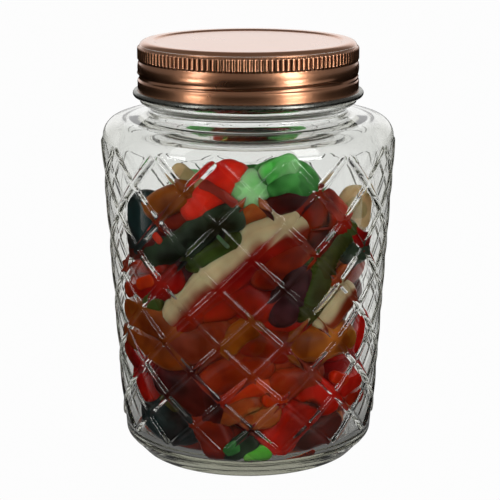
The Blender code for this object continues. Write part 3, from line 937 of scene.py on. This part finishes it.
def worm_tree():
    tree = Tree("Sweep gummy worms", rib_depth=0.0, rib_pitch=0.0026, bend=0.0014,
                unevenness=0.0009, lump=85.0, softness=0.0006, jelly=JELLIES["red"])
    # The middle line: each point leans a little by a noise of its own place.
    waver = tree.lay('ShaderNodeTexNoise', out="Color", Scale=WAVER, Detail=0.0)
    lean = [(part - 0.5) * tree.size("bend") * 2.0 for part in tree.pieces_of(waver)]
    lines = tree.move(tree.geometry, Offset=tree.vector(*lean))
    lines = tree.lay('GeometryNodeSetCurveNormal', Curve=lines, settings={"mode": 'Z_UP'})

    # The rod: a ring as wide as the worm, drawn in to a quarter circle at both ends.
    along = Field(tree, tree.lay('GeometryNodeSplineParameter', out="Length"))
    whole = Field(tree, tree.lay('GeometryNodeSplineLength', out="Length"))
    thick = Field(tree, tree.lay('GeometryNodeInputRadius'))
    from_end = tree.math('MINIMUM', along, whole - along) / thick
    near = tree.math('MINIMUM', from_end, 1.0)
    rounded = (near * (2.0 - near)) ** 0.5
    ribs = tree.math('SINE', along * math.tau / tree.size("rib_pitch")) * tree.size("rib_depth")
    ring = tree.lay('GeometryNodeCurvePrimitiveCircle', Resolution=WORM_SIDES, Radius=1.0)
    ring = tree.lay('GeometryNodeStoreNamedAttribute', Geometry=ring, Name="side",
                    Value=0.0 - tree.place()[1])
    swept = tree.lay('GeometryNodeCurveToMesh', Curve=lines, Profile_Curve=ring,
                     Scale=thick * rounded * (1.0 + ribs))
    closed = tree.lay('GeometryNodeMergeByDistance', Geometry=swept, Distance=RING_MERGE)

    # The lumps: jelly is never quite even, so the skin goes out and in by another noise.
    noise = tree.lay('ShaderNodeTexNoise', Scale=tree.size("lump"), Detail=1.0)
    swell = (Field(tree, noise) - 0.5) * tree.size("unevenness") * 2.0
    outward = tree.pieces_of(tree.lay('GeometryNodeInputNormal'))
    lumpy = tree.move(closed, Offset=tree.vector(*[part * swell for part in outward]))

    # The pressing: log(e^x + 1) is x well inside the wall and sinks to 0 past it, so that a point
    # there comes to lie on the wall. Near the floor the wall rounds in.
    x, y, z = tree.place()
    height = tree.largest(z, FLOOR + FLOOR_GAP)
    below = tree.largest(FLOOR + FLOOR_CORNER - height, 0.0)
    round_in = FLOOR_CORNER - tree.math('SQRT', FLOOR_CORNER ** 2 - below * below)
    wall = height * INNER_TAPER + (INNER_AT_FLOOR - SWEET_GAP) - round_in
    radius = tree.math('SQRT', x * x + y * y)
    spare = tree.math('MINIMUM', (wall - radius) / tree.size("softness"), STEEPEST)
    given = tree.math('LOGARITHM', tree.math('EXPONENT', spare) + 1.0, math.e)
    squeeze = (wall - given * tree.size("softness")) / radius
    pressed = tree.move(lumpy, Position=tree.vector(x * squeeze, y * squeeze, height))

    tree.end(tree.painted(pressed, tree.size("jelly")))
    return tree


SWEEP = worm_tree()
print("tree:", SWEEP.group.name, "with", len(SWEEP.group.nodes), "nodes")

# %% [markdown]
# ### Middle lines
#
# A few places are enough to say how a worm lies. A smooth curve through them gives its middle
# line, and the radius of each point on it carries the worm's thickness into the tree.

# %% Middle lines
FLATTENED = 2.4                    # millimetres by which a worm's side is pressed flat
CLOSENESS = 1.1                    # millimetres between two points of a middle line
EXTRA_POINTS = 16                  # added to every line, so that short ones are smooth too
EVEN, TO_THE_ENDS = 0.45, 0.55     # shares of a line's points spread evenly and drawn to its ends


def by_the_wall(azimuth, height, deep, thickness):
    """A place on a worm's middle line, from degrees, millimetres up and millimetres in."""
    radius = inner_radius(height / 1000) - thickness / 2000 - (deep - FLATTENED) / 1000
    return Vector(around(radius, math.radians(azimuth), height / 1000))


def curve_through(places, closeness):
    """A smooth line through a few places, with points closer together towards its ends.

    Between two places it is a cubic whose slope at each place is that of its two neighbours.
    """
    first, last = 2 * places[0] - places[1], 2 * places[-1] - places[-2]
    held = [first, *places, last]
    length = sum((b - a).length for a, b in zip(places, places[1:]))
    count = int(length * 1000 / closeness) + EXTRA_POINTS
    line = []
    for step in range(count):
        share = step / (count - 1)
        share = EVEN * share + TO_THE_ENDS * (0.5 - 0.5 * math.cos(math.pi * share))
        at = share * (len(places) - 1)
        k = min(int(at), len(places) - 2)
        t = at - k
        a, b, c, d = held[k:k + 4]
        line.append(0.5 * (2 * b + (c - a) * t + (2 * a - 5 * b + 4 * c - d) * t * t
                           + (3 * b - a - 3 * c + d) * t * t * t))
    return line


def worms(kind, lines, name, closeness=CLOSENESS, **sizes):
    """Sweep all worms of one kind; each line comes with its worm's thickness in millimetres."""
    curve = bpy.data.curves.new(name, 'CURVE')
    curve.dimensions = '3D'
    for thickness, places in lines:
        line = curve_through(places, closeness)
        spline = curve.splines.new('POLY')
        spline.points.add(len(line) - 1)
        for point, place in zip(spline.points, line):
            point.co = (*place, 1.0)
            point.radius = thickness / 2000
    path = bpy.data.objects.new(name + "_lines", curve)
    bpy.context.scene.collection.objects.link(path)
    piece = run(SWEEP, path, name, jelly=JELLIES[kind], **sizes)
    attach(piece, "root")
    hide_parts("gummy_worms")
    return piece


# %% [markdown]
# ### The worms that show
#
# Places are read off the photograph: degrees round from the front towards +X, millimetres up,
# and for the whole worm how deep it lies behind the glass. Some sizes differ from worm to worm,
# as they do in the jar.

# %% Plain worms seen from the front
#    kind, thickness mm, depth mm, then (azimuth, height) along the worm
FRONT = [
    ("dark_green", 10.5, 0, (-46, 85), (-31, 92), (-20, 99), (-11, 103), (-6, 104)),
    ("olive_green", 7.0, 2, (-26, 85), (-15, 90), (-4, 95)),
    ("bright_green", 2.0, 0, (-12, 97), (-8, 93)),
    ("dark_red", 14, 0, (27, 108), (31, 101), (30, 93)),
    ("dark_red", 13, 1, (37, 103), (31, 94), (21, 90)),
    ("dark_maroon", 8, 1, (11, 108), (18, 110), (25, 108)),
    ("bright_green", 12, 1, (-3, 115), (5, 115)),
    ("bright_green", 7.5, 1, (8, 119), (13, 121), (18, 122)),
    ("green", 14, 1, (10, 116), (17, 118), (24, 113)),
    ("bright_red", 13.5, 1, (-23, 105), (-16, 113), (-7, 119)),
    ("maroon", 3.5, 0, (-19, 116), (-11, 113), (-5, 109)),
    ("amber", 10, 1, (-47, 103), (-37, 108), (-27, 112)),
    ("brown_red", 11, 4, (-44, 100), (-24, 103)),
    ("tan", 6, 6, (-34, 119), (-27, 116)),
    ("teal", 12, 0, (-54, 104), (-55, 88)),
    ("dark_maroon", 10, 1, (-58, 85), (-43, 89)),
    ("bright_red", 2.5, 0, (-43, 94), (-40, 92)),
    ("dark_red", 12, 1, (-66, 70), (-50, 72), (-35, 78)),
    ("red_orange", 5, 0, (-54, 73), (-46, 75)),
    ("dark_red", 9, 2, (-68, 77), (-58, 81), (-40, 81)),
    ("amber", 14, 0, (-67, 60), (-51, 59), (-35, 56)),
    ("amber", 14, 0, (-72, 50), (-52, 49), (-38, 47)),
    ("olive_green", 4, 0, (-50, 66), (-44, 66)),
    ("pink_brown", 15, 0, (-36, 54), (-24, 53), (-15, 57)),
    ("amber", 9, 0, (-10, 53), (-4, 58), (1, 61)),
    ("brown_red", 14, 1, (-16, 37), (-4, 44), (6, 46)),
    ("dark_red", 14, 2, (-20, 66), (-5, 73), (6, 67)),
    ("dark_red", 14, 1, (1, 54), (17, 52)),
    ("brown_red", 12.5, 0, (6, 80), (15, 85), (25, 90)),
    ("purple", 13, 0, (22, 81), (16, 66)),
    ("dark_green", 10, 1, (46, 89), (60, 86)),
    ("orange_brown", 4.5, 1, (41, 76), (47, 80)),
    ("yellow", 14, 0, (23, 52), (34, 52), (52, 53)),
    ("red", 5, 0, (61, 58), (59, 47)),
    ("red", 10, 1, (49, 32), (63, 33)),
    ("dark_red", 9, 1, (53, 26), (66, 25)),
    ("brown_red", 12, 0, (16, 38), (30, 38)),
    ("red", 12, 0, (28, 34), (36, 31), (42, 27)),
    ("red_orange", 6, 1, (9, 31), (15, 33)),
    ("red", 13.5, 0, (15, 14), (23, 22), (31, 26)),
    ("dark_maroon", 12, 0, (26, 14), (36, 16), (45, 18)),
    ("red_orange", 5, 1, (44, 38), (50, 35)),
    ("orange_brown", 10, 2, (1, 24), (13, 24)),
    ("dark_green", 8, 1, (-9, 11), (0, 14)),
    ("green", 4.5, 0, (-9, 12), (-6, 13)),
    ("leaf_green", 6, 0, (1, 9), (7, 11)),
    ("brown_red", 12.5, 0, (-22, 22), (-17, 16), (-15, 12)),
    ("teal", 14, 0, (-56, 21), (-43, 17), (-30, 20)),
    ("dark_maroon", 15, 0, (-44, 36), (-30, 34), (-17, 27)),
    ("dark_red", 10, 0, (-73, 44), (-60, 39)),
    ("red", 9, 0, (-62, 36), (-56, 28)),
    ("orange_brown", 12, 2, (-13, 26), (1, 30)),
    ("tan", 10.5, 1, (58, 107), (58, 97)),
    ("maroon", 10, 1, (35, 108), (44, 101)),
    ("dark_red", 6, 0, (41, 98), (61, 90)),
    ("orange_brown", 9, 3, (-4, 105), (6, 107)),
    ("red_orange", 8, 2, (-14, 30), (7, 38)),
    ("dark_red", 3.5, 0, (19, 5), (32, 8)),
]
BACKED = [
    ("foam_brown", 12, 0, (52, 69), (38, 61)),
    ("foam_red", 16.5, 0, (-35, 62), (-27, 68), (-17, 76), (-7, 84), (4, 92), (11, 96), (21, 98)),
]
RIBBED = [
    ("olive_green", 9.5, 0, (49, 95), (39, 88), (33, 78), (27, 65)),
]
CORE_THICKNESS, CORE_LINE = 58.0, [(0, 0, -20), (0, 0, 45), (0, 0, 92)]   # mm, the heap's middle
print(len(FRONT), "plain,", len(BACKED), "with foam backs and", len(RIBBED), "ribbed")

# %% Worms by kind
FULLNESS = 1.1                     # share by which worms swell where they fill the gaps
CARRIED_ON = 0.0004                # metres added at each end for a millimetre of thickness


def by_kind(table):
    """Lines with thicknesses, sorted by kind, from a table of worms at the wall."""
    kinds = {}
    for kind, thickness, deep, *places in table:
        thickness *= FULLNESS
        line = [by_the_wall(*place, deep, thickness) for place in places]
        for end, beside in ((0, 1), (-1, -2)):
            line[end] = line[end] + (line[end] - line[beside]).normalized() * thickness * CARRIED_ON
        kinds.setdefault(kind, []).append((thickness, line))
    return kinds


print("kinds by hand:", *sorted(by_kind(FRONT + BACKED + RIBBED)))

# %% [markdown]
# ### The worms that lie behind and round the sides
#
# The rest of the heap is laid in rows round the wall by a seeded rule. Each worm starts where
# the last one ends, and lengths, thicknesses and slants differ. The first rows stand a little
# further in than the listed worms and fill the gaps between them. The next close the right
# and the left side, and another layer lies behind these all round. The last three are the top
# of the heap, which the front worms hide.

# %% Worms laid by the rule
CHANCE = random.Random(11)
THICKNESS, LENGTH = (10.5, 14.5), (12, 38)           # millimetres, the least and the most
SLANT, SAG, SET_BACK = (-0.6, 0.6), (-3.0, 3.0), (0, 2.5)   # slant as a share of the length
SPACING = 0.8                      # space to the next worm, as a share of the thickness
FIRST_STEP = (0, 8)                # degrees by which a row starts later

# How many of each kind there are in a handful.
HANDFUL = {"bright_red": 1, "red": 3, "dark_red": 3, "maroon": 2, "dark_maroon": 3, "brown_red": 4,
           "pink_brown": 2, "brown": 3, "orange_brown": 2, "red_orange": 2, "amber": 4, "yellow": 2,
           "tan": 1, "purple": 1, "teal": 1, "dark_green": 3, "olive_green": 1, "green": 2}
MIX = [kind for kind, count in HANDFUL.items() for _ in range(count)]
WARM = ["dark_red", "red", "brown_red", "pink_brown", "orange_brown", "amber", "brown", "dark_maroon"]
BRIGHT = ["red_orange", "green", "orange_brown", "bright_green", "red"]

#    depth mm, first and last azimuth, lowest and highest row mm, step up mm, kinds
HEAP = [
    (4.2, -74, 60, 13.0, 98.0, 9.0, WARM),
    (8.0, 68, 175, 14.0, 84.0, 9.5, MIX),
    (2.0, 180, 288, 14.0, 84.0, 9.5, MIX),
    (11.0, -180, 180, 14.0, 84.0, 11.5, MIX),
    (22.0, -180, 170, 89.0, 92.0, 3.0, MIX),
    (32.0, -170, 170, 98.0, 106.0, 6.0, MIX),
    (22.0, 60, 290, 98.0, 104.0, 5.0, BRIGHT),
]


def row_of_worms(height, first, last, deep, mix):
    """Worms end to end at about one height, between two azimuths."""
    row, azimuth = [], first
    while azimuth < last:
        thickness = CHANCE.uniform(*THICKNESS)
        length = CHANCE.uniform(*LENGTH)
        radius = inner_radius(height / 1000) * 1000 - deep - thickness / 2
        turn = math.degrees(length / radius)
        slant = CHANCE.uniform(*SLANT) * length
        middle = CHANCE.uniform(*SAG)
        row.append((CHANCE.choice(mix), thickness, deep + CHANCE.uniform(*SET_BACK),
                    (azimuth, height - slant / 2), (azimuth + turn / 2, height + middle),
                    (azimuth + turn, height + slant / 2)))
        azimuth += turn + math.degrees(thickness * SPACING / radius)
    return row


def rows_of_worms(deep, first, last, lowest, highest, pitch, mix):
    """Rows one above the other, each starting a little further on."""
    rows, height = [], lowest
    while height <= highest:
        start = first + CHANCE.uniform(*FIRST_STEP)
        rows += row_of_worms(height, start, last, deep, mix)
        height += pitch
    return rows


LAID = [worm for part in HEAP for worm in rows_of_worms(*part)]
print(len(FRONT) + len(BACKED) + len(RIBBED), "set by hand,", len(LAID), "laid by the rule")

# %% [markdown]
# Worms of one kind share a finish, so each kind is swept in one go and makes one piece. A plain
# dark core fills the middle of the heap, where no light reaches and no sweet shows.

# %% Sweeping all worms
for kind, lines in sorted(by_kind(FRONT + LAID).items()):
    worms(kind, lines, kind + "_worms")
for kind, lines in sorted(by_kind(BACKED).items()):
    worms(kind, lines, kind + "_worms", closeness=0.8)
for kind, lines in sorted(by_kind(RIBBED).items()):
    worms(kind, lines, kind + "_ribbed_worm", rib_depth=0.05, rib_pitch=0.0021, closeness=0.45)
core_line = [Vector(place) / 1000 for place in CORE_LINE]
worms("dark_red", [(CORE_THICKNESS, core_line)], "heap_core", closeness=3.0, unevenness=0.004)

# %% [markdown]
# ## Camera
#
# The camera stands where the photograph's stood: 0.24 m up, 0.67 m in front, looking down by
# 13.6 degrees through a long lens. It was fitted to the lattice's crossings and the rims.

# %% Camera
LENS, SENSOR = 123.98, 36.0                          # millimetres
CAMERA_PLACE = (0.00068, -0.665, 0.2403)
LOOKING_DOWN = 13.62                                 # degrees


def add_camera():
    data = bpy.data.cameras.new("camera")
    data.lens, data.sensor_width = LENS, SENSOR
    data.clip_start, data.clip_end = 0.01, 100.0
    camera = bpy.data.objects.new("camera", data)
    camera.location = CAMERA_PLACE
    camera.rotation_euler = (math.radians(90.0 - LOOKING_DOWN), 0.0, 0.0)
    bpy.context.scene.collection.objects.link(camera)
    bpy.context.scene.camera = camera


add_camera()
print("camera at", CAMERA_PLACE, "looking down by", LOOKING_DOWN, "degrees")

# %% [markdown]
# ## Floor and surroundings
#
# Clear glass is drawn by what it bends into view. In front of plain white paper a jar would be
# white all over, and in front of nothing it would be black. So the floor and the surroundings
# answer each kind of ray on its own terms: the camera sees both as plain white paper; a ray that
# has come through glass finds light behind the jar and dimness in front of it, which draws dark
# lines along the ridges; and a ray thrown back by the lid or by the glass finds them mostly dim.
#
# Left to itself the renderer also counts both among the lamps, and how bright the sweets come
# out then depends on the number of samples. So neither is sampled as a lamp, and the soft
# panels in the next step light the sweets.

# %% Floor
PAPER_WHITE = 0.98                 # brightness of floor and surroundings to the camera
FLOOR_HALF, FLOOR_DROP = 8.0, 0.0001                     # half its side, and its place below z = 0
FRONT_TO_BACK, LIT_BEHIND = (-0.03, 0.13), (0.05, 1.0)   # metres in Y, and the brightness there
UNDER_THE_JAR, LIT_UNDER = (0.05, 0.12), (0.12, 0.0)     # metres from the middle, for bent rays
ROUND_THE_FOOT, LIT_ROUND = (0.06, 0.10), (0.15, 0.0)    # and for every other ray


def floor_finish():
    """White to the camera, and dim to other rays except where the ranges above light it."""
    pale = Finish("pale_floor")
    pale.surface(Base_Color=(0.0, 0.0, 0.0, 1.0), Roughness=0.9, Specular_IOR_Level=0.0)
    place = pale.lay('ShaderNodeTexCoord').outputs["Object"]
    back = pale.lay('ShaderNodeSeparateXYZ', Vector=place).outputs["Y"]
    length = pale.lay('ShaderNodeVectorMath', settings={"operation": 'LENGTH'}, Vector=place)
    away = length.outputs["Value"]
    bent = pale.math('MAXIMUM', pale.carry(back, FRONT_TO_BACK, LIT_BEHIND),
                     pale.carry(away, UNDER_THE_JAR, LIT_UNDER))
    through = pale.math('MULTIPLY', pale.ray("Is Transmission Ray"), bent)
    lit = pale.math('MAXIMUM', through, pale.carry(away, ROUND_THE_FOOT, LIT_ROUND))
    seen = pale.math('MAXIMUM', pale.ray("Is Camera Ray"), lit)
    pale.swap_shader(seen, pale.lay('ShaderNodeEmission', Color=WHITE, Strength=PAPER_WHITE))
    pale.material.cycles.emission_sampling = 'NONE'
    return pale.material


def add_floor():
    corners = [(x * FLOOR_HALF, y * FLOOR_HALF, -FLOOR_DROP)
               for x, y in ((-1, -1), (1, -1), (1, 1), (-1, 1))]
    floor = plain_mesh("floor", corners, [(0, 1, 2, 3)])
    floor.data.materials.append(floor_finish())


add_floor()
print("floor:", 2 * FLOOR_HALF, "m across,", FLOOR_DROP * 1000, "mm under the jar")

# %% Surroundings
# Brightness by direction: 0 is straight to the side or up, 1 is straight behind the jar.
THROUGH_GLASS = (0.36, (0.05, 0.05, 0.05)), (0.76, (1.0, 1.0, 1.0))
THROWN_BACK = (0.78, (0.12, 0.12, 0.12)), (0.94, (1.0, 1.0, 1.0))


def add_surroundings():
    world = bpy.data.worlds.new("studio")
    bpy.context.scene.world = world
    studio = Shading(world)
    studio.nodes.clear()
    where = studio.lay('ShaderNodeTexCoord').outputs["Generated"]
    back = studio.lay('ShaderNodeSeparateXYZ', Vector=where).outputs["Y"]
    thrown, through = studio.ramp(back, *THROWN_BACK), studio.ramp(back, *THROUGH_GLASS)
    colour = studio.mix(studio.ray("Is Transmission Ray"), thrown, through)
    dim = studio.lay('ShaderNodeBackground', Color=colour)
    paper = studio.lay('ShaderNodeBackground', Color=WHITE, Strength=PAPER_WHITE)
    answer = studio.either(studio.ray("Is Camera Ray"), dim.outputs[0], paper.outputs[0])
    studio.lay('ShaderNodeOutputWorld', Surface=answer)
    world.cycles.sampling_method = 'NONE'
    return world


print("surroundings:", add_surroundings().name)

# %% [markdown]
# ## Lights
#
# Two kinds of soft panels stand round the jar. Those that only mirrors show draw the highlights:
# a tall strip at each side for the lid's edge and the glass, and a low one nearer by. The low
# ones are for the lid's ribs: the camera looks down on those upright walls, so they throw back
# only what stands lower than they do. Panels that only light things brighten the sweets from in
# front, from above and a little from both sides, and leave no reflection on the glass.

# %% Lights
AIM = Vector((0.0, 0.0, 0.08))

#    name, azimuth, distance m, height m, width m, tall m, watts
MIRRORED = [
    ("strip_right", 46, 0.9, 0.45, 0.3, 0.6, 2.8),
    ("strip_left", -54, 0.9, 0.45, 0.22, 0.6, 1.1),
    ("low_right", 46, 0.45, 0.055, 0.15, 0.06, 0.24),
    ("low_left", -54, 0.45, 0.055, 0.12, 0.06, 0.17),
]
LIGHTING = [
    ("fill_front", 0, 1.1, 0.5, 1.6, 0.9, 23.0),
    ("fill_top", 180, 0.5, 1.1, 1.2, 0.8, 17.0),
    ("fill_right", 100, 0.9, 0.4, 0.8, 0.8, 5.5),
    ("fill_left", -100, 0.9, 0.4, 0.8, 0.8, 5.5),
]


def add_light(name, azimuth, distance, height, width, tall, power, mirrored):
    """A soft panel that faces the jar. It shows in mirroring surfaces, or else lights the rest."""
    data = bpy.data.lights.new(name, 'AREA')
    data.shape, data.size, data.size_y, data.energy = 'RECTANGLE', width, tall, power
    lamp = bpy.data.objects.new(name, data)
    lamp.location = around(distance, math.radians(azimuth), height)
    lamp.rotation_euler = (AIM - lamp.location).to_track_quat('-Z', 'Y').to_euler()
    lamp.visible_camera = False
    lamp.visible_glossy = mirrored
    lamp.visible_diffuse = not mirrored
    lamp.visible_transmission = False
    bpy.context.scene.collection.objects.link(lamp)


for light in MIRRORED:
    add_light(*light, mirrored=True)
for light in LIGHTING:
    add_light(*light, mirrored=False)
print("lights:", *[light[0] for light in MIRRORED + LIGHTING])

# %% [markdown]
# White paper should come out white, so colours are shown as they are, without a film look. On
# its way to the back of the jar and out again light crosses many walls of glass, so a ray may
# bend and pass more often than is usual.

# %% Colours and light paths
scene = bpy.context.scene
scene.view_settings.view_transform = 'Standard'
scene.cycles.max_bounces = 24
scene.cycles.transmission_bounces = 20
scene.cycles.glossy_bounces = 8
scene.cycles.transparent_max_bounces = 24
print("light may bounce", scene.cycles.max_bounces, "times")
